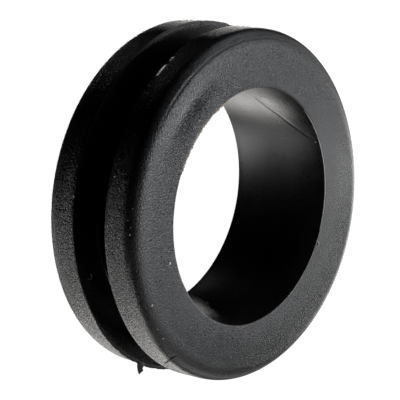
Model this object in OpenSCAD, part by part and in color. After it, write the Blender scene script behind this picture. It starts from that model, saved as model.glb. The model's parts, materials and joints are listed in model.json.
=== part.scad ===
// Open rubber grommet for a round panel hole.
// One moulded ring: two flanges clip over the panel, a short sleeve joins them,
// and a cable passes through the bore. It lies on its rear flange, axis along +Z,
// with the origin at the middle of the rear face.

/* [Panel] */
// Diameter of the panel hole that the sleeve fits in
panel_hole_d = 20; // [8:0.5:60]
// Thickness of the panel between the flanges
panel_t = 2.5; // [0.8:0.1:6]
// Play between the sleeve and the panel hole, across the diameter
hole_play = 0.2; // [0:0.05:0.8]
// Play between the flanges and the panel, along the axis
panel_play = 0.3; // [0:0.05:1]

/* [Ring] */
// Thickness of the sleeve wall between the groove and the bore
sleeve_wall = 1.6; // [0.8:0.1:3]
// How far both flanges reach out past the edge of the panel hole
flange_overlap = 2.3; // [1:0.1:8]
// Thickness of the front flange
front_flange_t = 2.6; // [1:0.1:6]
// Thickness of the rear flange
rear_flange_t = 2.6; // [1:0.1:6]

/* [Edges] */
// Radius of the round-over from each face to the rim
rim_radius = 1; // [0.2:0.1:2.4]
// Radius on the edge of both bore mouths
mouth_radius = 0.15; // [0.05:0.05:1]
// Radius on the two rim edges beside the groove
groove_edge_radius = 0.1; // [0.05:0.05:0.4]
// Radius in the two corners at the bottom of the groove
groove_corner_radius = 0.2; // [0.05:0.05:0.6]

/* [Hidden] */

sleeve_r = (panel_hole_d - hole_play) / 2;
bore_r = sleeve_r - sleeve_wall;
flange_r = panel_hole_d / 2 + flange_overlap;
groove_depth = flange_r - sleeve_r;
groove_w = panel_t + panel_play;
groove_bottom_z = rear_flange_t;
groove_top_z = groove_bottom_z + groove_w;

// How far a cutting or joining shape runs past the face that it meets
overrun = 0.02;
// Share of a wall that its radii may take together
radius_share = 0.96;

thin_flange = min(front_flange_t, rear_flange_t);
edge_r = min(groove_edge_radius, radius_share * min(thin_flange, groove_depth) / 3);
corner_r = min(groove_corner_radius, radius_share * min(groove_w / 2, groove_depth - edge_r));
mouth_r = min(mouth_radius, radius_share * min(thin_flange, flange_r - bore_r) / 3);
rim_r = min(rim_radius, radius_share * min(thin_flange - edge_r, flange_r - bore_r - mouth_r));

// What a radius takes off a square corner at the origin that points to +X +Y
module outside_corner(r) {
    difference() {
        translate([-r, -r]) square(r + overrun);
        translate([-r, -r]) circle(r, $fn = 96);
    }
}

// What a fillet adds in a square corner at the origin that opens to +X +Y
module inside_corner(r) {
    difference() {
        translate([-overrun, -overrun]) square(r + overrun);
        translate([r, r]) circle(r, $fn = 96);
    }
}

// Half section of one flange, groove side down at y = 0, face at y = t
module flange_section(t) {
    difference() {
        translate([bore_r, 0]) square([flange_r - bore_r, t]);
        translate([flange_r, t]) outside_corner(rim_r);
        translate([flange_r, 0]) mirror([0, 1]) outside_corner(edge_r);
        translate([bore_r, t]) mirror([1, 0]) outside_corner(mouth_r);
    }
}

// Half section of the sleeve, with the fillets that carry it into both flanges
module sleeve_section() {
    translate([bore_r, groove_bottom_z - overrun])
        square([sleeve_r - bore_r, groove_w + 2 * overrun]);
    translate([sleeve_r, groove_bottom_z]) inside_corner(corner_r);
    translate([sleeve_r, groove_top_z]) mirror([0, 1]) inside_corner(corner_r);
}

// The whole moulded ring
module grommet() {
    color("#1b1b1c")
        rotate_extrude($fn = 180) {
            translate([0, groove_top_z]) flange_section(front_flange_t);
            translate([0, groove_bottom_z]) mirror([0, 1]) flange_section(rear_flange_t);
            sleeve_section();
        }
}

grommet();
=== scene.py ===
# %% [markdown]
# # A moulded rubber grommet
# A grommet lines a round hole in a panel so that its sharp edge cannot cut a cable. This one is a single
# ring of black rubber, pressed in a hot mould: two rounded flanges, a groove between them for the panel,
# and a bore. The CAD model already fixes every size. The lesson here is about the looks: a ring swept by
# numpy, the fine grain that the mould leaves on it, the small faults of the moulding, and a studio that
# lets black rubber show its shape.

# %% Load the fixed frame
import json
import math

import bmesh
import bpy
import numpy as np
from mathutils import Matrix, Vector


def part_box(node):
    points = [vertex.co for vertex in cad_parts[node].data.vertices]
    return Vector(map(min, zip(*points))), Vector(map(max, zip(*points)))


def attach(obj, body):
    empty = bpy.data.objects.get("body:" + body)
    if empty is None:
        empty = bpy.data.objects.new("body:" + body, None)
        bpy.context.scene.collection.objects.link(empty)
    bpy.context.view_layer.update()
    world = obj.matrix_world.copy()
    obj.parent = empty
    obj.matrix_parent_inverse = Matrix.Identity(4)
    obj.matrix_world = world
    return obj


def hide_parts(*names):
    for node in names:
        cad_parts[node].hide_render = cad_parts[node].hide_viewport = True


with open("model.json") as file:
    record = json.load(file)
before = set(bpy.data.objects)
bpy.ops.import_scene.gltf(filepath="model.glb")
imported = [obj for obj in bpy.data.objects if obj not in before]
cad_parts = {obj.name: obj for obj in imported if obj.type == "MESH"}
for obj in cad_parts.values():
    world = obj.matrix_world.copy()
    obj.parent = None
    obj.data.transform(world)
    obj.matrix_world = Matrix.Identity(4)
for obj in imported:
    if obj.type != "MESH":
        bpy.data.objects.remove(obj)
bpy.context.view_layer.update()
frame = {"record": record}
scene = bpy.context.scene
MM = 0.001

# %% [markdown]
# ## Sizes
# The outer sizes are read from the frame, and the bore radius from the record of the part. The groove is in
# neither, so its places are written here, in millimetres as on the drawing, and turned into metres once.

# %% Sizes of the ring, in metres
ring_low, ring_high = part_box("grommet")
flange_r = (ring_high.x - ring_low.x) / 2
ring_h = ring_high.z - ring_low.z
bore_mount = next(mount for mount in frame["record"]["mounts"] if mount["name"] == "bore")
bore_r = bore_mount["dims"]["r_mm"] * MM
sleeve_r = 9.9 * MM
groove_low = 2.6 * MM
groove_high = 5.4 * MM
ring_centre = Vector((0, 0, ring_h / 2))
print("flange", flange_r, "bore", bore_r, "height", ring_h)

# %% [markdown]
# ## Camera
# The picture was taken with a long lens from about 39 degrees above the face, and the camera was rolled so
# that the axis of the ring points to the right. Fitting the outlines of both rims and of the bore to
# circles gave the angles, the distance and the place of the ring in the frame. A small lens shift puts the
# ring at that place.

# %% Camera
PHOTO_SIZE = 400
RING_CENTRE_PX = (208.4, 198.8)
VIEW_ELEVATION = math.radians(38.78)
VIEW_ROLL = math.radians(100.6)
VIEW_DISTANCE = 156.3 * MM
LENS_MM = 200.65
SENSOR_MM = 36

toward_camera = Vector((0, -math.cos(VIEW_ELEVATION), math.sin(VIEW_ELEVATION)))
level_view = toward_camera.to_track_quat("Z", "Y").to_matrix()
camera_axes = level_view @ Matrix.Rotation(VIEW_ROLL, 3, "Z")

camera_data = bpy.data.cameras.new("camera")
camera_data.lens = LENS_MM
camera_data.sensor_width = SENSOR_MM
camera_data.clip_start = 1 * MM
camera_data.shift_x = (PHOTO_SIZE / 2 - RING_CENTRE_PX[0]) / PHOTO_SIZE
camera_data.shift_y = (RING_CENTRE_PX[1] - PHOTO_SIZE / 2) / PHOTO_SIZE
camera = bpy.data.objects.new("camera", camera_data)
camera.matrix_world = camera_axes.to_4x4()
camera.location = ring_centre + VIEW_DISTANCE * toward_camera
scene.collection.objects.link(camera)
scene.camera = camera
print("camera at", [round(x / MM, 1) for x in camera.location], "mm")

# %% [markdown]
# ## Helpers for grids
# Every new piece is a grid of points worked out by numpy. A grid may close on itself in one direction, as a
# tube does, or in both, as a ring does. The two open ends of a tube are closed by one flat face each. Whole
# arrays go into the mesh at once, which is much quicker than adding vertices one by one.

# %% Grid to mesh


def grid_faces(rows, columns, ring=False):
    """Corner numbers of a tube grid: quads between neighbours, closed into a ring or by two end caps."""
    row = np.arange(rows if ring else rows - 1)[:, None]
    column = np.arange(columns)[None, :]
    next_row = (row + 1) % rows
    next_column = (column + 1) % columns
    corners = [row * columns + column, row * columns + next_column,
               next_row * columns + next_column, next_row * columns + column]
    faces = np.stack(np.broadcast_arrays(*corners), axis=-1).reshape(-1, 4).tolist()
    if not ring:
        first = np.arange(columns)
        faces += [first[::-1].tolist(), (first + (rows - 1) * columns).tolist()]
    return faces


def solid_mesh(name, points, faces):
    """Smooth closed mesh from points (last axis 3) and faces, turned so that its volume is positive."""
    mesh = bpy.data.meshes.new(name)
    mesh.from_pydata(points.reshape(-1, 3).tolist(), [], faces)
    shape = bmesh.new()
    shape.from_mesh(mesh)
    if shape.calc_volume(signed=True) < 0:
        bmesh.ops.reverse_faces(shape, faces=shape.faces[:])
    shape.to_mesh(mesh)
    shape.free()
    mesh.polygons.foreach_set("use_smooth", np.ones(len(mesh.polygons), dtype=bool))
    mesh.update()
    return mesh


def add_piece(name, mesh, material):
    """Object at the origin for a finished mesh, riding on the one rigid body of the part."""
    piece = bpy.data.objects.new(name, mesh)
    mesh.materials.append(material)
    scene.collection.objects.link(piece)
    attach(piece, "root")
    print(name, "faces:", len(mesh.polygons))
    return piece


# %% [markdown]
# ## The section of the ring
# The section is one closed loop of straight runs and arcs, walked up the bore, out over the front face,
# down the rim, through the groove and back over the rear face. It follows the CAD section, with three soft
# forms that rubber takes as it shrinks in the mould: the bore has a slight waist and flares towards its
# mouths, the front face is crowned by a seventh of a millimetre, and the rims roll over into the faces a
# little earlier. The rear edge of the bore stays nearly sharp, with a short straight land before its flare.
#
# Each run has a name, because the faults and the finish differ from run to run. Each run also says how many
# points it gets: many where a crease has to be drawn, and few where nothing happens. A bevel modifier could
# round the edges too, but it would keep neither the names nor the rows.

# %% Section
WAIST_IN = 0.22 * MM
FLARE_OUT = 0.2 * MM
FLARE_LONG = 3.4 * MM
FLARE_POWER = 2.9
REAR_FLARE_POWER = 2.0
LIP_R = 0.09 * MM
REAR_LIP_R = 0.02 * MM
REAR_LAND = 0.1 * MM
RIM_OUT = 1.35 * MM
RIM_DOWN = 1.1 * MM
RIM_POWER = 2.5
CROWN = 0.14 * MM
CROWN_TOP_R = 9.4 * MM
EDGE_R = 0.1 * MM
CORNER_R = 0.2 * MM
PLAIN_BORE_Z = 3.6 * MM
RUBBED_WIDE = 0.24 * MM

waist_r = bore_r - WAIST_IN
lip_r = waist_r + FLARE_OUT
face_in = lip_r + LIP_R
face_out = flange_r - RIM_OUT


def straight(start, stop, steps):
    """Evenly spaced (radius, height) points from start up to, but without, stop."""
    share = np.linspace(0, 1, steps, endpoint=False)[:, None]
    return (1 - share) * np.array(start) + share * np.array(stop)


def arc(centre, radii, start_deg, stop_deg, steps, power=2.0):
    """Points centre + radii * (cos, sin) of a turn without its end; a power over 2 makes it squarer."""
    turn = np.radians(np.linspace(start_deg, stop_deg, steps, endpoint=False))
    circle = np.stack([np.cos(turn), np.sin(turn)], axis=1)
    return np.array(centre) + np.array(radii) * np.sign(circle) * np.abs(circle) ** (2 / power)


def flare(start_z, stop_z, steps, power):
    """Bore wall that opens with a power of the way from start to stop, without the last point."""
    share = np.linspace(0, 1, steps, endpoint=False)
    return np.stack([waist_r + FLARE_OUT * share ** power, start_z + (stop_z - start_z) * share], axis=1)


def ring_section():
    """Closed loop of (radius, height) points, with the name of the run that each point belongs to."""
    lip, rear_lip = (LIP_R, LIP_R), (REAR_LIP_R, REAR_LIP_R)
    rim, edge, corner = (RIM_OUT, RIM_DOWN), (EDGE_R, EDGE_R), (CORNER_R, CORNER_R)
    roll_low = ring_h - RIM_DOWN
    rim_low = groove_high + EDGE_R
    land_low = REAR_LIP_R + REAR_LAND
    flare_low = land_low + FLARE_LONG
    flare_high = ring_h - LIP_R - FLARE_LONG
    wall_in = sleeve_r + CORNER_R
    wall_out = flange_r - EDGE_R
    wall_top = groove_high - CORNER_R
    wall_foot = groove_low + CORNER_R
    runs = [
        ("bore", straight((waist_r, flare_low), (waist_r, PLAIN_BORE_Z), 3)),
        ("bore", straight((waist_r, PLAIN_BORE_Z), (waist_r, flare_high), 12)),
        ("mouth", flare(flare_high, ring_h - LIP_R, 42, FLARE_POWER)),
        ("mouth", arc((face_in, ring_h - LIP_R), lip, 180, 90, 6)),
        ("face", straight((face_in, ring_h), (face_out, ring_h), 23)),
        ("front_roll", arc((face_out, roll_low), rim, 90, 60, 12, RIM_POWER)),
        ("front_roll", arc((face_out, roll_low), rim, 60, 0, 11, RIM_POWER)),
        ("front_rim", straight((flange_r, roll_low), (flange_r, rim_low + RUBBED_WIDE), 5)),
        ("front_rim", straight((flange_r, rim_low + RUBBED_WIDE), (flange_r, rim_low), 4)),
        ("front_edge", arc((wall_out, rim_low), edge, 0, -90, 5)),
        ("groove", straight((wall_out, groove_high), (wall_in, groove_high), 5)),
        ("groove", arc((wall_in, wall_top), corner, 90, 180, 4)),
        ("groove", straight((sleeve_r, wall_top), (sleeve_r, wall_foot), 5)),
        ("groove", arc((wall_in, wall_foot), corner, 180, 270, 4)),
        ("groove", straight((wall_in, groove_low), (wall_out, groove_low), 5)),
        ("rear_edge", arc((wall_out, groove_low - EDGE_R), edge, 90, 0, 4)),
        ("rear_rim", straight((flange_r, groove_low - EDGE_R), (flange_r, RIM_DOWN), 6)),
        ("rear_roll", arc((face_out, RIM_DOWN), rim, 0, -90, 12, RIM_POWER)),
        ("rear_face", straight((face_out, 0), (lip_r + REAR_LIP_R, 0), 6)),
        ("rear_mouth", arc((lip_r + REAR_LIP_R, REAR_LIP_R), rear_lip, -90, -180, 3)),
        ("rear_mouth", straight((lip_r, REAR_LIP_R), (lip_r, land_low), 2)),
        ("rear_mouth", flare(flare_low, land_low, 7, REAR_FLARE_POWER)[:0:-1]),
    ]
    loop = np.concatenate([points for part, points in runs])
    parts = np.concatenate([np.full(len(points), part) for part, points in runs])
    return loop, parts


def crown_drop(loop):
    """Drop of the front face and roll: the square of the way from the crown, fading out down the roll."""
    way = (loop[:, 0] - CROWN_TOP_R) / (flange_r - CROWN_TOP_R)
    high = np.clip((loop[:, 1] - ring_h + RIM_DOWN) / RIM_DOWN, 0, 1)
    return CROWN * way ** 2 * high


def loop_normals(loop):
    """Outward unit normals: the direction along the loop, turned a quarter to the left."""
    along = np.roll(loop, -1, axis=0) - np.roll(loop, 1, axis=0)
    normals = np.stack([-along[:, 1], along[:, 0]], axis=1)
    return normals / np.linalg.norm(normals, axis=1, keepdims=True)


section, section_part = ring_section()
face_drop = crown_drop(section)
section[:, 1] -= face_drop
section_normal = loop_normals(section)
print("section points:", len(section))

# %% [markdown]
# ## Places round the ring
# A place on the ring is an angle about its axis, counted from +X towards +Y, and a point of the section.
# The columns of the grid stand closer together where a fine fault has to be drawn, and further apart where
# the ring is plain.

# %% Angles of the columns
TURN_STEPS = 540
CREASE_SPAN = (126, 166)
BURR_SPAN = (216, 262)
# Angles where the columns stand closer, and how many times closer
CROWDED = [(CREASE_SPAN, 1.9), (BURR_SPAN, 1.5)]
CROWD_FADE = 5
DENSITY_STEPS = 7200


def angle_gap(angle, target):
    """Signed difference between two angles in degrees, from -180 to 180."""
    return (angle - target + 180) % 360 - 180


def bell(distance, width):
    """Bell curve of height 1: e to the minus half the square of distance over width."""
    return np.exp(-0.5 * (distance / width) ** 2)


def span(angle, limits, fade):
    """1 between two angles and 0 outside, with an S-shaped fade of about the given degrees at both ends."""
    middle, half = (limits[0] + limits[1]) / 2, (limits[1] - limits[0]) / 2
    return 1 / (1 + np.exp((np.abs(angle_gap(angle, middle)) - half) * 4 / fade))


def crowded_turn(steps):
    """Angles of a full turn in degrees, spaced as the inverse of a density that crowded spans raise."""
    fine = np.linspace(0, 360, DENSITY_STEPS + 1)
    density = 1 + sum((closer - 1) * span(fine, limits, CROWD_FADE) for limits, closer in CROWDED)
    total = np.concatenate([[0], np.cumsum((density[1:] + density[:-1]) / 2)])
    return np.interp(np.linspace(0, total[-1], steps, endpoint=False), total, fine)


turn_deg = crowded_turn(TURN_STEPS)
turn = np.radians(turn_deg)
row_r, row_z = section[:, :1], section[:, 1:]
normal_r, normal_z = section_normal[:, :1], section_normal[:, 1:]


def rows_of(*parts):
    """Column of ones for the section points of the named runs, and zeros for the others."""
    return np.isin(section_part, parts).astype(float)[:, None]


print("closest columns: %.3f degrees" % np.diff(turn_deg).min())

# %% [markdown]
# ## What moulding does to the form
# No rubber ring is perfectly round or flat. Each fault below is a small height over the section, in or out
# along its normal, and the ring is the section with all these heights added. Slow waves bend the whole ring
# by a few hundredths of a millimetre, and one low swelling near the rim catches the light. On one side,
# where the mould filled better, the crown is nearly flat and the roll at the edge of the face is fuller.
# Sculpting could do the same by hand, but a formula is easier to change later.

# %% Slow waves and swelling
WAVE_ORDERS = np.array([2, 3, 5])
WAVE_SEED = 11
ROUND_WAVE = 0.02 * MM
FLAT_WAVE = 0.015 * MM
SWELL_AT = 239
SWELL_LONG = 11
SWELL_R = 10.45 * MM
SWELL_WIDE = 0.55 * MM
SWELL_H = 0.065 * MM
FULL_AT = 72
FULL_LONG = 36
FULL_SHARE = 0.5
FLAT_AT = 85
FLAT_LONG = 40
FLAT_SHARE = 0.85


def waves(size, draw):
    """Sum of cosines round the ring; each order has a random phase, and later orders are lower."""
    phase = draw.uniform(0, 2 * np.pi, len(WAVE_ORDERS))
    height = size / np.arange(1, len(WAVE_ORDERS) + 1)
    return (height[:, None] * np.cos(np.outer(WAVE_ORDERS, turn) + phase[:, None])).sum(axis=0)


def slow_waves():
    """Out-of-round and out-of-flat waves, each as far as the surface faces that way."""
    draw = np.random.default_rng(WAVE_SEED)
    return waves(ROUND_WAVE, draw) * normal_r + waves(FLAT_WAVE, draw) * normal_z


def face_swelling():
    """A bell over the radius times a bell over the angle."""
    shape = bell(row_r - SWELL_R, SWELL_WIDE) * bell(angle_gap(turn_deg, SWELL_AT), SWELL_LONG)
    return SWELL_H * shape * rows_of("face", "front_roll")


def fuller_roll():
    """Share by which the front roll shrinks towards the corner of face and rim, for each column."""
    return FULL_SHARE * bell(angle_gap(turn_deg, FULL_AT), FULL_LONG) * rows_of("front_roll")


flatter = FLAT_SHARE * bell(angle_gap(turn_deg, FLAT_AT), FLAT_LONG)
form = slow_waves() + face_swelling() + flatter * face_drop[:, None]
print("form from %.3f to %.3f mm" % (form.min() / MM, form.max() / MM))

# %% [markdown]
# ## Lines that the mould left
# Where two parts of the mould met, a thin line runs along the roll of the front face for about a fifth of
# the turn: a valley, and a low ridge beside it. In the bore, two fronts of hot rubber met and left a
# crease. It follows a curve of height over angle, and its depth is given along that curve. The wall of the
# crease is steep below and gentle above, and a faint shoulder lies on the side of the mouth. Both lines
# could be cut with a boolean, but as heights they follow the curved surface by themselves.

# %% Parting line and crease
LINE_SPAN = (180, 246)
LINE_FADE = 10
LINE_R = 11.71 * MM
LINE_DEPTH = 0.026 * MM
LINE_WIDE = 0.05 * MM
RIDGE_R = 11.85 * MM
RIDGE_H = 0.018 * MM
FACING_UP = 0.3
CREASE_DEG = np.array([128.0, 133.6, 137.7, 142.3, 145.5, 151.7, 156.6, 164.2, 170.0])
CREASE_Z = np.array([8.2, 7.23, 6.52, 5.86, 5.5, 4.83, 4.47, 4.21, 4.05]) * MM
CREASE_STEEP = 0.06 * MM
CREASE_GENTLE = 0.12 * MM
CREASE_DEPTH_DEG = np.array([132.0, 134.5, 139.0, 143.0, 146.0, 151.0, 156.0, 161.0, 167.0])
CREASE_DEPTH = np.array([0.0, 0.025, 0.034, 0.028, 0.024, 0.03, 0.036, 0.036, 0.0]) * MM
SHOULDER_SPAN = (133, 157)
SHOULDER_FADE = 8
SHOULDER_AT = 0.55 * MM
SHOULDER_WIDE = 0.33 * MM
SHOULDER_H = 0.004 * MM


def parting_line():
    """Narrow bell-shaped valley round the front roll and a low ridge beside it, fading at the ends."""
    ridge = RIDGE_H * bell(row_r - RIDGE_R, LINE_WIDE)
    valley = LINE_DEPTH * bell(row_r - LINE_R, LINE_WIDE)
    here = rows_of("face", "front_roll") * (normal_z > FACING_UP)
    return (ridge - valley) * span(turn_deg, LINE_SPAN, LINE_FADE) * here


def bore_crease():
    """Valley across the crease curve, steep below and gentle above, and a low shoulder above it."""
    curve = np.interp(turn_deg, CREASE_DEG, CREASE_Z)
    slope = np.gradient(curve, turn) / bore_r
    across = (row_z - curve) / np.sqrt(1 + slope ** 2)
    depth = np.interp(turn_deg, CREASE_DEPTH_DEG, CREASE_DEPTH, left=0, right=0)
    valley = -depth * np.where(across < 0, bell(across, CREASE_STEEP), bell(across, CREASE_GENTLE))
    shoulder = SHOULDER_H * bell(across - SHOULDER_AT, SHOULDER_WIDE)
    shoulder = shoulder * span(turn_deg, SHOULDER_SPAN, SHOULDER_FADE)
    return (valley + shoulder) * rows_of("bore", "mouth")


lines = parting_line() + bore_crease()
print("crease down to %.3f mm" % (lines.min() / MM))

# %% [markdown]
# ## Torn and rubbed edges
# The mouth of the bore was torn rather than cut where the core was pulled out, so it is ragged along one
# stretch. On the front edge of the groove, a few short stretches are rubbed to a chamfer, which glints.
# Pulling single points by hand could do it. A smoothed row of random numbers gives the tear, and an even
# slope gives the chamfer, and both can be moved round the ring by changing their angles.

# %% Ragged mouth and rubbed edge
BURR_SEED = 23
BURR_SMOOTH = 3
BURR_FADE = 6
BURR_WIDE = 0.09 * MM
BURR_H = 0.03 * MM
RUBBED_SPANS = [(223.2, 226.2), (227.2, 233.0), (234.6, 235.4), (236.0, 236.8), (238.6, 239.3)]
RUBBED_FADE = 0.5
RUBBED_DEEP = 0.064 * MM


def rough_line(count, seed, smooth):
    """Random heights from 0 to 1, one for each column, averaged over a few neighbours."""
    draw = np.random.default_rng(seed).uniform(0, 1, count)
    kernel = np.hanning(smooth + 2)
    padded = np.pad(draw, smooth, mode="wrap")
    return np.convolve(padded, kernel / kernel.sum(), mode="same")[smooth:-smooth]


def mouth_burr():
    """Ragged height on the lip of the bore, strongest where the lip turns over."""
    lip = np.hypot(row_r - lip_r, row_z - ring_h)
    ragged = rough_line(TURN_STEPS, BURR_SEED, BURR_SMOOTH) * span(turn_deg, BURR_SPAN, BURR_FADE)
    return BURR_H * ragged * bell(lip, BURR_WIDE) * rows_of("mouth", "face")


def rubbed_edge():
    """Wear near the groove: an even slope from nothing to 1, on short stretches of the turn."""
    slope = np.clip(1 - (row_z - groove_high - EDGE_R) / RUBBED_WIDE, 0, 1)
    here = (row_r > flange_r - 2 * EDGE_R) & (row_z > groove_high - EDGE_R)
    return slope * here * sum(span(turn_deg, limits, RUBBED_FADE) for limits in RUBBED_SPANS)


edges = mouth_burr()
wear = rubbed_edge()
print("burr up to %.3f mm" % (edges.max() / MM))

# %% [markdown]
# ## Black rubber
# Rubber filled with carbon black takes in nearly all the light that enters it. What the eye sees is the few
# per cent that the surface reflects, so the finish is all in the roughness and in the grain. The grain was
# eroded into the mould by sparks: shallow pits about a tenth of a millimetre wide, and between them tips
# that are a little duller. The colour is paler on the tips and darker in the pits: partly the tone of the
# grain, and partly painted shade in the pits. A picture of grain could be wrapped round the ring, but noise
# measured in millimetres has no seam and keeps its size everywhere. It is a node group, because the ring
# and the flash share it. Turned steel formed the bore and the groove, so there the grain is faint, and the
# rubber is blacker with a soft shine.

# %% Helpers for materials
TO_MM = 1000


def link(tree, source, target):
    """Join an output socket to an input socket."""
    tree.links.new(source, target)


def feed(tree, value, target):
    """Give an input socket a number, or join it to another socket."""
    if isinstance(value, (int, float)):
        target.default_value = value
    else:
        link(tree, value, target)


def math_node(tree, operation, *values):
    """Math node whose inputs are each a socket or a number; gives its output socket."""
    node = tree.nodes.new("ShaderNodeMath")
    node.operation = operation
    for socket, value in zip(node.inputs, values):
        feed(tree, value, socket)
    return node.outputs[0]


def noise_node(tree, vector, scale, detail):
    """Noise texture read at a vector socket; its output Fac runs from 0 to 1, mostly near a half."""
    noise = tree.nodes.new("ShaderNodeTexNoise")
    feed(tree, scale, noise.inputs["Scale"])
    noise.inputs["Detail"].default_value = detail
    link(tree, vector, noise.inputs["Vector"])
    return noise


def mixed_colour(tree, factor, first, second):
    """Colour socket between two colours (red, green, blue), led by a factor socket."""
    mix = tree.nodes.new("ShaderNodeMix")
    mix.data_type = "RGBA"
    mix.inputs["A"].default_value = (*first, 1)
    mix.inputs["B"].default_value = (*second, 1)
    link(tree, factor, mix.inputs["Factor"])
    return mix.outputs["Result"]


def new_material(name):
    """Material with nodes, its node tree and its Principled shader."""
    material = bpy.data.materials.new(name)
    material.use_nodes = True
    return material, material.node_tree, material.node_tree.nodes["Principled BSDF"]


# %% Grain group
PIT_DETAIL = 1.0
PIT_ROUGHNESS = 0.62
STREAK_STRETCH = (0.25, 0.25, 5.0)
STREAK_DETAIL = 2.0
STREAK_H = 0.05
MOTTLE_PER_MM = 0.9
MOTTLE_DETAIL = 4.0


def mould_grain():
    """Group in object millimetres: Height of pits and faint turning lines, Stipple of tips, slow Mottle."""
    group = bpy.data.node_groups.new("mould_grain", "ShaderNodeTree")
    for name in ("Pits per mm", "Grain"):
        group.interface.new_socket(name, in_out="INPUT", socket_type="NodeSocketFloat")
    for name in ("Height", "Stipple", "Mottle"):
        group.interface.new_socket(name, in_out="OUTPUT", socket_type="NodeSocketFloat")
    entry = group.nodes.new("NodeGroupInput")
    leave = group.nodes.new("NodeGroupOutput")
    place = group.nodes.new("ShaderNodeTexCoord")
    scaled = group.nodes.new("ShaderNodeVectorMath")
    scaled.operation = "SCALE"
    scaled.inputs["Scale"].default_value = TO_MM
    link(group, place.outputs["Object"], scaled.inputs[0])
    millimetres = scaled.outputs[0]
    stretch = group.nodes.new("ShaderNodeVectorMath")
    stretch.operation = "MULTIPLY"
    stretch.inputs[1].default_value = STREAK_STRETCH
    link(group, millimetres, stretch.inputs[0])
    pits = noise_node(group, millimetres, entry.outputs["Pits per mm"], PIT_DETAIL)
    pits.inputs["Roughness"].default_value = PIT_ROUGHNESS
    streaks = noise_node(group, stretch.outputs[0], 1.0, STREAK_DETAIL)
    mottle = noise_node(group, millimetres, MOTTLE_PER_MM, MOTTLE_DETAIL)
    centred = math_node(group, "SUBTRACT", pits.outputs["Fac"], 0.5)
    stipple = math_node(group, "MULTIPLY", centred, entry.outputs["Grain"])
    height = math_node(group, "MULTIPLY_ADD", streaks.outputs["Fac"], STREAK_H, stipple)
    link(group, height, leave.inputs["Height"])
    link(group, stipple, leave.inputs["Stipple"])
    link(group, mottle.outputs["Fac"], leave.inputs["Mottle"])
    return group


grain_group = mould_grain()
print("grain group nodes:", len(grain_group.nodes))

# %% Rubber
PITS_PER_MM = 9.5
GRAIN_DEPTH = 0.045 * MM
RUBBER_IOR = 1.5
BLACKEST = (0.001, 0.001, 0.0011)
PALEST = (0.02, 0.02, 0.0204)
TIP_TONE_AND_PIT_SHADE = 4.0
TIP_DULL = 0.7
GRAINED_GAIN = 2.0
UNEVEN_SHINE = 0.08


def add_grain(tree, shader, pits_per_mm):
    """Grain group whose height bumps the shader's normal; gives the group node."""
    grain = tree.nodes.new("ShaderNodeGroup")
    grain.node_tree = grain_group
    grain.inputs["Pits per mm"].default_value = pits_per_mm
    bump = tree.nodes.new("ShaderNodeBump")
    bump.inputs["Distance"].default_value = GRAIN_DEPTH
    link(tree, grain.outputs["Height"], bump.inputs["Height"])
    link(tree, bump.outputs["Normal"], shader.inputs["Normal"])
    return grain


def black_rubber():
    """Near-black surface; two attributes of the mesh set how deep its grain is and how rough it is."""
    material, tree, shader = new_material("black_rubber")
    shader.inputs["IOR"].default_value = RUBBER_IOR
    depth = tree.nodes.new("ShaderNodeAttribute")
    depth.attribute_name = "grain"
    rough = tree.nodes.new("ShaderNodeAttribute")
    rough.attribute_name = "roughness"
    grain = add_grain(tree, shader, PITS_PER_MM)
    link(tree, depth.outputs["Fac"], grain.inputs["Grain"])
    grained = math_node(tree, "MULTIPLY", depth.outputs["Fac"], GRAINED_GAIN)
    grained.node.use_clamp = True
    mottled = math_node(tree, "MULTIPLY", grain.outputs["Mottle"], grained)
    # Paler tips and darker pits: partly the grain's own tone, partly painted shade in the pits.
    tips = math_node(tree, "MULTIPLY_ADD", grain.outputs["Stipple"], TIP_TONE_AND_PIT_SHADE, mottled)
    link(tree, mixed_colour(tree, tips, BLACKEST, PALEST), shader.inputs["Base Color"])
    uneven = math_node(tree, "MULTIPLY_ADD", grain.outputs["Mottle"], UNEVEN_SHINE, -UNEVEN_SHINE / 2)
    dull_tips = math_node(tree, "MULTIPLY_ADD", grain.outputs["Stipple"], TIP_DULL, uneven)
    link(tree, math_node(tree, "ADD", rough.outputs["Fac"], dull_tips), shader.inputs["Roughness"])
    return material


rubber = black_rubber()
print("rubber nodes:", len(rubber.node_tree.nodes))

# %% [markdown]
# ## The ring
# The section, moved along its normals by all the heights above, is turned about the axis. Rows follow the
# section and columns follow the turn, and both close. The depth of the grain and the roughness are stored
# on the points as two attributes. They start from the finish of each run, and then change from place to
# place. The grain of the face is worn on one side, and the rims are finer on another. One patch of the face
# is polished and one is dull, and the rubbed edge has lost most of its grain. Painting these by hand would
# work as well, but a formula can be read and changed.

# %% The ring


def turned(heights, shrink, inset):
    """Points (radius cos turn, radius sin turn, height) of the section, shrunk, moved and set in."""
    radius = row_r + shrink * (flange_r - row_r) + heights * normal_r - inset
    corner_z = ring_h - CROWN * (1 - flatter)
    height = row_z + shrink * (corner_z - row_z) + heights * normal_z
    return np.stack([radius * np.cos(turn), radius * np.sin(turn), height], axis=-1)


heights = form + lines + edges
ring_points = turned(heights, fuller_roll(), RUBBED_DEEP * wear)
ring_mesh = solid_mesh("ring", ring_points, grid_faces(len(section), TURN_STEPS, ring=True))
ring = add_piece("ring", ring_mesh, rubber)
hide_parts("grommet")

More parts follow.
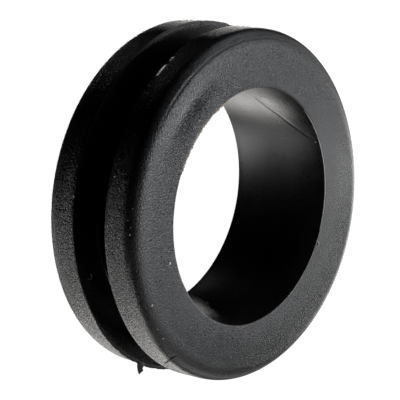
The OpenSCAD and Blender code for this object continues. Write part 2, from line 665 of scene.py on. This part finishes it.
# %% Finish of the ring
# Depth of the grain and roughness for each run of the section
FINISH_OF_PART = {
    "face": (0.57, 0.325), "front_roll": (0.8, 0.37), "front_rim": (2.2, 0.35), "front_edge": (0.6, 0.35),
    "rear_edge": (0.6, 0.35), "rear_rim": (2.3, 0.35), "rear_roll": (0.9, 0.38), "rear_face": (0.57, 0.325),
    "mouth": (0.28, 0.3), "rear_mouth": (0.26, 0.32), "bore": (0.3, 0.32), "groove": (0.1, 0.18),
}
EVEN_POINTS = 9
WORN_AT = 85
WORN_LONG = 45
WORN_SHARE = 0.28
WORN_ROLL_SHARE = 0.42
SMOOTHER_TO_RIM = 0.06 / MM
EVEN_R = 10.5 * MM
FINE_AT = 218
FINE_LONG = 32
FINE_SHARE = 0.62
POLISH_AT = 236
POLISH_LONG = 11
POLISH_R = 9.75 * MM
POLISH_WIDE = 0.6 * MM
POLISH = 0.095
POLISH_GRAIN = 0.35
DULL_AT = 116
DULL_LONG = 14
DULL_R = 9.4 * MM
DULL_WIDE = 0.7 * MM
DULL = 0.09
RUBBED_FROM = 0.02
RUBBED_SHINE = 0.2
RUBBED_GRAIN = 0.9


def run_values(column):
    """A value of the finish for each section point, evened out over a few neighbours."""
    values = np.array([FINISH_OF_PART[part][column] for part in section_part])
    kernel = np.hanning(EVEN_POINTS)
    padded = np.pad(values, EVEN_POINTS // 2, mode="wrap")
    return np.convolve(padded, kernel / kernel.sum(), mode="valid")[:, None]


def patch(at_deg, long_deg, radius, wide):
    """Soft spot on the front face: a bell over the angle times a bell over the radius."""
    return bell(angle_gap(turn_deg, at_deg), long_deg) * bell(row_r - radius, wide) * rows_of("face")


def store(mesh, name, values):
    """Point attribute from one value for each row and column of the grid."""
    layer = mesh.attributes.new(name, "FLOAT", "POINT")
    layer.data.foreach_set("value", values.astype(np.float32).ravel())


worn_side = bell(angle_gap(turn_deg, WORN_AT), WORN_LONG)
finer_rim = bell(angle_gap(turn_deg, FINE_AT), FINE_LONG) * rows_of("front_rim", "rear_rim")
polished = patch(POLISH_AT, POLISH_LONG, POLISH_R, POLISH_WIDE)
dulled = patch(DULL_AT, DULL_LONG, DULL_R, DULL_WIDE)
rubbed = (wear > RUBBED_FROM).astype(float)

grain_depth = run_values(0) * (1 - RUBBED_GRAIN * rubbed) * (1 - FINE_SHARE * finer_rim)
grain_depth *= 1 - POLISH_GRAIN * polished
grain_depth *= 1 - worn_side * (WORN_SHARE * rows_of("face") + WORN_ROLL_SHARE * rows_of("front_roll"))
roughness = run_values(1) - RUBBED_SHINE * rubbed - POLISH * polished + DULL * dulled
roughness -= SMOOTHER_TO_RIM * (row_r - EVEN_R) * worn_side * rows_of("face")
store(ring_mesh, "grain", grain_depth)
store(ring_mesh, "roughness", roughness)
print("roughness from %.2f to %.2f" % (roughness.min(), roughness.max()))

# %% [markdown]
# ## Flash
# Rubber squeezes into the joints of the mould and leaves thin fins, the flash. One runs along the rear edge
# of the groove: hardly there for most of the turn, one or two tenths of a millimetre high on two stretches,
# nicked once, and with one torn flake still hanging from it. A second, ragged fringe is left in the torn
# part of the bore mouth. Both could be strips drawn only where they show, but then their ends would need
# closing. Here one small outline is carried round the full circle while its height changes, and outside the
# torn part the fringe is set back into the wall. Thin rubber lets a little warm light through, and that
# light
# is painted into the colour of the flash: the fin and the fringe are browner and paler than the ring. The
# flash uses the same grain group.

# %% Flash finish
FLASH_PITS_PER_MM = 9.0
FLASH_GRAIN = 0.4
FLASH_DARKER = 0.4


def thin_flash(name, colour, roughness):
    """Brown-black rubber with the shared grain; colour and roughness say how thin it is, and a paler colour
    is painted light let through thin rubber.
    """
    material, tree, shader = new_material(name)
    grain = add_grain(tree, shader, FLASH_PITS_PER_MM)
    grain.inputs["Grain"].default_value = FLASH_GRAIN
    darker = [FLASH_DARKER * value for value in colour]
    link(tree, mixed_colour(tree, grain.outputs["Mottle"], colour, darker), shader.inputs["Base Color"])
    shader.inputs["Roughness"].default_value = roughness
    return material


# The fin and the fringe are browner and paler than the ring: painted light let through thin rubber. The
# flake stays nearly black.
groove_flash_painted_glow = thin_flash("groove_flash_painted_glow", (0.035, 0.025, 0.018), 0.42)
torn_flash = thin_flash("torn_flash", (0.008, 0.006, 0.005), 0.5)
mouth_flash_painted_glow = thin_flash("mouth_flash_painted_glow", (0.5, 0.35, 0.23), 0.7)
print("flash finishes:", groove_flash_painted_glow.name, torn_flash.name, mouth_flash_painted_glow.name)

# %% Fin of the groove
FIN_STEPS = 720
FIN_SEED = 31
FIN_SMOOTH = 5
FIN_FADE = 6
FIN_ROOT = 0.12 * MM
FIN_THICK = 0.05 * MM
FIN_BELOW = 0.03 * MM
FIN_LEAST = 0.02 * MM
FIN_TALL = [((322, 366), 0.13 * MM), ((162, 216), 0.08 * MM)]
FIN_LOWEST = 0.6
FIN_ROUGH = 0.8
NICK_AT = 310
NICK_LONG = 0.6
# Outline of a fin from root to tip and back: share of the height, and share of the half thickness
FIN_OUT = np.array([-1.0, 0.0, 0.55, 0.9, 1.0, 0.9, 0.55, 0.0, -1.0])[:, None]
FIN_UP = np.array([-1.0, -1.0, -0.8, -0.45, 0.0, 0.45, 0.8, 1.0, 1.0])[:, None]

fin_deg = np.linspace(0, 360, FIN_STEPS, endpoint=False)
fin_faces = grid_faces(len(FIN_OUT), FIN_STEPS, ring=True)
fin_z = groove_low - FIN_BELOW


def fin_points(root_r, inward, z, tall, thick, sunk=0.0):
    """Fin round a circle: shares below 0 root in the wall, the others stand tall; sunk sets it all back."""
    reach = np.where(FIN_OUT < 0, FIN_OUT * FIN_ROOT, FIN_OUT * tall) - sunk
    radius = root_r + (-reach if inward else reach)
    height = z + FIN_UP * thick / 2 + 0 * tall
    angle = np.radians(fin_deg)
    return np.stack([radius * np.cos(angle), radius * np.sin(angle), height], axis=-1)


fin_tall = FIN_LEAST + sum(size * span(fin_deg, limits, FIN_FADE) for limits, size in FIN_TALL)
fin_tall = fin_tall * (FIN_LOWEST + FIN_ROUGH * rough_line(FIN_STEPS, FIN_SEED, FIN_SMOOTH))
fin_tall = fin_tall * (1 - bell(angle_gap(fin_deg, NICK_AT), NICK_LONG))
fin_grid = fin_points(flange_r, False, fin_z, fin_tall, FIN_THICK)
add_piece("groove_fin", solid_mesh("groove_fin", fin_grid, fin_faces), groove_flash_painted_glow)
print("fin up to %.2f mm high" % (fin_tall.max() / MM))

# %% Fringe in the bore mouth
FRINGE_SEED = 37
FRINGE_SMOOTH = 2
FRINGE_TALL = 0.18 * MM
FRINGE_LOWEST = 0.45
FRINGE_ROUGH = 0.7
FRINGE_THICK = 0.03 * MM
FRINGE_SUNK = 0.06 * MM

fringe_here = span(fin_deg, BURR_SPAN, BURR_FADE)
fringe_ragged = FRINGE_LOWEST + FRINGE_ROUGH * rough_line(FIN_STEPS, FRINGE_SEED, FRINGE_SMOOTH)
fringe_tall = FRINGE_TALL * fringe_here * fringe_ragged
fringe_sunk = FRINGE_SUNK * (1 - fringe_here)
fringe_grid = fin_points(lip_r, True, ring_h - LIP_R, fringe_tall, FRINGE_THICK, fringe_sunk)
add_piece("mouth_fringe", solid_mesh("mouth_fringe", fringe_grid, fin_faces), mouth_flash_painted_glow)
print("fringe up to %.2f mm" % (fringe_tall.max() / MM))

# %% [markdown]
# ## The torn flake
# The flake is drawn as it hangs: an outline of angles and radii, walked from its left root to its tip and
# back. A smooth closed curve through these points is laid in five layers that shrink towards the top and
# the bottom, so the flake is thin at its edge and thicker in the middle.

# %% Flake
FLAKE_DEG = np.array([-12.4, -12.1, -11.6, -10.6, -9.6, -9.0, -8.7, -7.9, -8.5, -9.0, -8.6, -8.3, -10.3])
FLAKE_R = MM * np.array(
    [12.25, 12.5, 12.68, 12.9, 13.07, 13.12, 12.97, 12.76, 12.72, 12.56, 12.45, 12.25, 12.2])
FLAKE_SHRINK = np.array([0.35, 0.8, 1.0, 0.8, 0.35])
FLAKE_LAYER = np.array([-1.0, -0.8, 0.0, 0.8, 1.0])
FLAKE_THICK = 0.14 * MM
FLAKE_SAG = 0.12 * MM
FLAKE_POINTS = 40


def closed_curve(values, count):
    """Even samples of a closed line through the values, softened by a short average."""
    corner = np.append(values, values[0])
    fine = np.interp(np.linspace(0, len(values), count, endpoint=False), np.arange(len(corner)), corner)
    return (np.roll(fine, 1) + 2 * fine + np.roll(fine, -1)) / 4


flake_angle = np.radians(closed_curve(FLAKE_DEG, FLAKE_POINTS))
flake_radius = closed_curve(FLAKE_R, FLAKE_POINTS)
flake_flat = np.stack([flake_radius * np.cos(flake_angle), flake_radius * np.sin(flake_angle)], axis=-1)
flake_middle = flake_flat.mean(axis=0)
flake_xy = flake_middle + FLAKE_SHRINK[:, None, None] * (flake_flat - flake_middle)
flake_out = np.clip(np.linalg.norm(flake_xy, axis=-1) - flange_r, 0, None) / (FLAKE_R.max() - flange_r)
flake_z = fin_z + FLAKE_LAYER[:, None] * FLAKE_THICK / 2 - FLAKE_SAG * flake_out ** 2
flake_grid = np.concatenate([flake_xy, flake_z[..., None]], axis=-1)
flake_faces = grid_faces(len(FLAKE_SHRINK), FLAKE_POINTS)
add_piece("flake", solid_mesh("flake", flake_grid, flake_faces), torn_flash)

# %% [markdown]
# ## Dust, lint and a hair
# Rubber holds dust. Each speck is a small flattened ball, half sunk into the surface that it sticks to, and
# each thread is a thin tube along a short curve. A particle system could scatter them, but then none would
# lie where the picture shows it. Their places are angles, radii and heights near the ring. The nearest
# point of the finely sampled section gives the exact place and the normal, so a speck sits on the ring seen
# from any side.
# The pale thread along the lip of the bore is partly dust and partly a painted highlight of the lip's
# glint.

# %% Places on the surface
DENSE = 40
closed_loop = np.vstack([section, section[:1]])
closed_normal = np.vstack([section_normal, section_normal[:1]])
loop_way = np.linspace(0, len(section), DENSE * len(section), endpoint=False)
loop_step = np.arange(len(closed_loop))
dense_loop = np.stack([np.interp(loop_way, loop_step, axis) for axis in closed_loop.T], axis=1)
dense_normal = np.stack([np.interp(loop_way, loop_step, axis) for axis in closed_normal.T], axis=1)


def on_ring(places):
    """Points and normals on the ring nearest to rows of (angle in degrees, radius in mm, height in mm)."""
    places = np.array(places, dtype=float)
    gap = np.linalg.norm(dense_loop[None] - places[:, None, 1:3] * MM, axis=-1)
    nearest = gap.argmin(axis=1)
    rows = (nearest // DENSE) % len(section)
    angle_and_row = zip(places[:, 0], rows)
    lift = np.array([np.interp(angle, turn_deg, heights[row], period=360) for angle, row in angle_and_row])
    flat = dense_loop[nearest] + lift[:, None] * dense_normal[nearest]
    angle = np.radians(places[:, 0])
    around = np.stack([np.cos(angle), np.sin(angle)], axis=1)
    points = np.concatenate([flat[:, :1] * around, flat[:, 1:]], axis=1)
    normals = np.concatenate([dense_normal[nearest, :1] * around, dense_normal[nearest, 1:]], axis=1)
    return points, normals / np.linalg.norm(normals, axis=1, keepdims=True)


print("places on the section:", len(dense_loop))

# %% Dust and lint finish
SPOTS_PER_MM = 20
SPOT_DETAIL = 2.0


def lint(name, dark, light, roughness):
    """Dry fibre or dust, and a pale line that paints a glint: a noisy mix of two greys, with no shine."""
    material, tree, shader = new_material(name)
    shader.inputs["Roughness"].default_value = roughness
    place = tree.nodes.new("ShaderNodeTexCoord")
    spots = noise_node(tree, place.outputs["Object"], SPOTS_PER_MM * TO_MM, SPOT_DETAIL)
    link(tree, mixed_colour(tree, spots.outputs["Fac"], dark, light), shader.inputs["Base Color"])
    return material


pale_dust_and_glint = lint("pale_dust_and_glint", (0.45, 0.44, 0.42), (0.85, 0.84, 0.8), 0.9)
dark_hair = lint("dark_hair", (0.003, 0.003, 0.003), (0.006, 0.005, 0.004), 0.7)
print("dust and hair finishes:", pale_dust_and_glint.name, dark_hair.name)

# %% Dust
# Angle in degrees, radius and height in millimetres, and width in millimetres
DUST = [
    (-58.9, 9.07, 8.0, 0.25), (-48.6, 11.52, 8.0, 0.15),
    (-105.1, 11.68, 8.0, 0.09), (-34.6, 11.88, 7.9, 0.1),
    (-39.2, 11.86, 7.9, 0.07), (-74.5, 12.3, 7.6, 0.09), (-76.7, 12.3, 7.7, 0.06), (-78.9, 12.3, 7.4, 0.06),
    (-82.7, 12.3, 7.8, 0.05), (-76.1, 12.3, 5.7, 0.09), (-89.4, 12.3, 6.6, 0.07), (-48.6, 12.3, 6.6, 0.08),
    (-42.1, 12.3, 1.3, 0.08), (-43.0, 12.3, 1.0, 0.07), (-83.1, 12.3, 2.5, 0.12), (-92.3, 12.2, 2.6, 0.08),
    (-49.7, 12.3, 2.5, 0.08), (130.7, 8.3, 7.64, 0.11), (56.0, 9.9, 8.0, 0.06), (24.0, 10.6, 8.0, 0.06),
]
BALL_ROWS = np.radians(np.linspace(-70, 70, 6))
BALL_TURN = np.linspace(0, 2 * np.pi, 8, endpoint=False)
BALL_FLAT = 0.6
# Any direction that is not the normal under one of the specks
ASLANT = (0.3, 0.5, 0.8)


def specks(places):
    """Flattened balls on the surface: two directions along it and one, shorter, along its normal."""
    points, normals = on_ring(places)
    width = np.array(places)[:, 3] * MM / 2
    side = np.cross(normals, ASLANT)
    side /= np.linalg.norm(side, axis=1, keepdims=True)
    across = np.cross(normals, side)
    flat = np.cos(BALL_ROWS)[:, None, None]
    ball = (flat * np.cos(BALL_TURN)[None, :, None] * side[:, None, None]
            + flat * np.sin(BALL_TURN)[None, :, None] * across[:, None, None]
            + BALL_FLAT * np.sin(BALL_ROWS)[:, None, None] * normals[:, None, None])
    return points[:, None, None] + width[:, None, None, None] * ball


dust_points = specks(DUST)
ball_size = len(BALL_ROWS) * len(BALL_TURN)
ball_faces = grid_faces(len(BALL_ROWS), len(BALL_TURN))
dust_faces = [[corner + ball_size * n for corner in face] for n in range(len(DUST)) for face in ball_faces]
add_piece("dust", solid_mesh("dust", dust_points, dust_faces), pale_dust_and_glint)

# %% Threads
THREAD_ROWS = 18
THREAD_SIDES = 6
THREAD_TIP = 0.35
# Each path is a few places: angle in degrees, radius and height in millimetres
FIBRE = [(-54.0, 11.66, 2.6), (-53.6, 11.42, 2.6), (-53.6, 11.2, 2.6), (-54.4, 11.2, 2.6),
         (-55.3, 11.23, 2.6)]
CURL = [(78.8, 8.25, 8.0), (79.1, 8.4, 8.0), (78.6, 8.58, 8.0), (77.6, 8.62, 8.0), (77.0, 8.5, 8.0)]
# Along the lip: partly dust, partly a painted highlight that stands for the thin glint of the lip.
LIP_DUST_AND_GLINT = [(153, 8.3, 7.96), (136, 8.3, 7.96), (119, 8.3, 7.96), (102, 8.3, 7.96), (85, 8.3, 7.96)]
HAIR = [(-19.5, 12.3, 6.15), (-22.0, 12.3, 6.75), (-24.0, 12.3, 7.25), (-24.9, 12.15, 7.6),
        (-24.2, 11.95, 7.8)]


def thread(places, thickness):
    """Tube along a smooth path on the surface, thin at both ends: centre + radius (cos side + sin up)."""
    points, normals = on_ring(places)
    knots = np.linspace(0, 1, len(places))
    rows = np.linspace(0, 1, THREAD_ROWS)
    bend = len(places) - 1
    path = np.stack([np.polyval(np.polyfit(knots, axis, bend), rows) for axis in points.T], axis=1)
    up = np.stack([np.interp(rows, knots, axis) for axis in normals.T], axis=1)
    along = np.gradient(path, axis=0)
    side = np.cross(along, up)
    side /= np.linalg.norm(side, axis=1, keepdims=True)
    fullness = THREAD_TIP + (1 - THREAD_TIP) * np.sqrt(np.sin(np.pi * rows))
    radius = thickness / 2 * fullness[:, None, None]
    turns = np.linspace(0, 2 * np.pi, THREAD_SIDES, endpoint=False)[None, :, None]
    wall = np.cos(turns) * side[:, None] + np.sin(turns) * up[:, None]
    return path[:, None] + up[:, None] * thickness / 4 + radius * wall


thread_faces = grid_faces(THREAD_ROWS, THREAD_SIDES)
for thread_name, places, thickness, finish in (
    ("fibre", FIBRE, 0.04 * MM, pale_dust_and_glint),
    ("curl", CURL, 0.06 * MM, pale_dust_and_glint),
    ("lip_dust_and_glint", LIP_DUST_AND_GLINT, 0.06 * MM, pale_dust_and_glint),
    ("hair", HAIR, 0.09 * MM, dark_hair),
):
    add_piece(thread_name, solid_mesh(thread_name, thread(places, thickness), thread_faces), finish)

# %% [markdown]
# ## Studio
# Black rubber shows only what it mirrors, so the studio is built from what the ring should mirror: darkness
# on the side of the camera, white paper behind and below, and one strong box at the right for the front
# face. A picture of a studio could do this too, but here each light is a round soft box that can be moved
# and dimmed alone. The far boxes stand all at one distance, and only their direction, as seen in the
# picture, their brightness and their tint differ. The placed boxes have a place and a width of their own.
# Four of them stand close to the ring: each part of the face mirrors a different part of them, and that
# makes the slow change of tone across the face. The other two stand behind it, and one makes the rubbed
# edge glint.

# %% Soft boxes
FAR = 400 * MM
FAR_BOX_SIZE = 182 * MM
COOL = (0.97, 1.0, 1.05)
NEUTRAL = (1.0, 1.0, 1.0)
WARM = (1.02, 1.0, 0.97)
# Name, direction in the picture (right, up, towards the camera), brightness and tint
FAR_BOXES = [
    ("key_box", (0.99, 0.02, 0.17), 10.4, COOL),
    ("upper_right_box", (0.65, 0.75, -0.10), 2.9, COOL),
    ("left_paper", (-0.85, -0.34, -0.42), 4.2, NEUTRAL),
    ("lower_paper", (-0.42, -0.91, 0.04), 9.2, WARM),
    ("lower_right_paper", (0.40, -0.86, -0.30), 2.7, NEUTRAL),
    ("right_back_paper", (0.42, -0.50, -0.76), 0.7, WARM),
    ("lower_left_paper", (-0.70, -0.65, -0.29), 1.3, NEUTRAL),
    ("lower_back_paper", (-0.30, -0.67, -0.68), 4.2, WARM),
    ("low_back_paper", (-0.19, -0.44, -0.88), 1.3, WARM),
    ("back_paper", (-0.13, 0.07, -0.99), 9.0, WARM),
]
# Name, place in millimetres, width in millimetres, brightness and tint
PLACED_BOXES = [
    ("strip_bottom", (24, 19, 64.3), 44, 1.7, NEUTRAL),
    ("low_box", (0, 59, 13), 36, 4.3, NEUTRAL),
    ("small_box", (-4, 16.2, 14.2), 4, 2.0, NEUTRAL),
    ("low_top_box", (-32, 59, 14.3), 36, 0.9, NEUTRAL),
    ("upper_back_paper", (-115, 289, -246), 130, 2.9, WARM),
    ("glint_box", (-213, 91, -323), 56, 2.2, NEUTRAL),
]


def picture_direction(right, up, toward):
    """Unit vector in the room for a direction given as seen in the picture."""
    return (camera_axes @ Vector((right, up, toward))).normalized()


def soft_box(name, place, facing, size, brightness, tint):
    """Round area light turned to face a direction; its power is brightness times area times pi."""
    light = bpy.data.lights.new(name, "AREA")
    light.shape = "DISK"
    light.size = size
    light.color = tint
    light.energy = brightness * math.pi * (size / 2) ** 2 * math.pi
    lamp = bpy.data.objects.new(name, light)
    lamp.location = place
    lamp.rotation_euler = facing.to_track_quat("-Z", "Y").to_euler()
    lamp.visible_camera = False
    scene.collection.objects.link(lamp)


for name, direction, brightness, tint in FAR_BOXES:
    way = picture_direction(*direction)
    soft_box(name, ring_centre + FAR * way, -way, FAR_BOX_SIZE, brightness, tint)
for name, place, width, brightness, tint in PLACED_BOXES:
    place = Vector(place) * MM
    soft_box(name, place, ring_centre - place, width * MM, brightness, tint)
print("soft boxes:", len(FAR_BOXES) + len(PLACED_BOXES))

# %% [markdown]
# ## Backdrop, denoiser and floor
# The backdrop and the floor are plain white, and only the camera sees them, so they add no light of their
# own to the rubber. The floor lies just under the ring. Seen from below it is clear, so that the rear of
# the ring can be looked at too. The denoiser is led by the colours and normals of the surface without a
# filter before it: it takes away the noise of the lights and leaves the grain.

# %% Backdrop and denoiser
world = bpy.data.worlds.new("white_backdrop")
world.use_nodes = True
world.node_tree.nodes["Background"].inputs["Color"].default_value = (1, 1, 1, 1)
scene.world = world
world.cycles_visibility.diffuse = False
world.cycles_visibility.glossy = False
scene.view_settings.view_transform = "Standard"
scene.cycles.use_denoising = True
scene.cycles.denoising_input_passes = "RGB_ALBEDO_NORMAL"
scene.cycles.denoising_prefilter = "NONE"
print("backdrop:", world.name)

# %% Floor
FLOOR_REACH = 2.0
FLOOR_Z = -0.05 * MM

floor_corners = [(-FLOOR_REACH, -FLOOR_REACH, FLOOR_Z), (FLOOR_REACH, -FLOOR_REACH, FLOOR_Z),
                 (FLOOR_REACH, FLOOR_REACH, FLOOR_Z), (-FLOOR_REACH, FLOOR_REACH, FLOOR_Z)]
floor_mesh = bpy.data.meshes.new("floor")
floor_mesh.from_pydata(floor_corners, [], [(0, 1, 2, 3)])
floor = bpy.data.objects.new("floor", floor_mesh)
scene.collection.objects.link(floor)
floor_paint, floor_tree, floor_shader = new_material("pale_floor")
floor_shader.inputs["Base Color"].default_value = (0, 0, 0, 1)
floor_shader.inputs["Emission Color"].default_value = (1, 1, 1, 1)
floor_shader.inputs["Emission Strength"].default_value = 1.0
floor_side = floor_tree.nodes.new("ShaderNodeNewGeometry")
floor_front = math_node(floor_tree, "SUBTRACT", 1.0, floor_side.outputs["Backfacing"])
link(floor_tree, floor_front, floor_shader.inputs["Alpha"])
floor_mesh.materials.append(floor_paint)
floor.visible_glossy = False
floor.visible_diffuse = False
floor.visible_shadow = False
print("floor %.2f mm under the ring" % (-FLOOR_Z / MM))
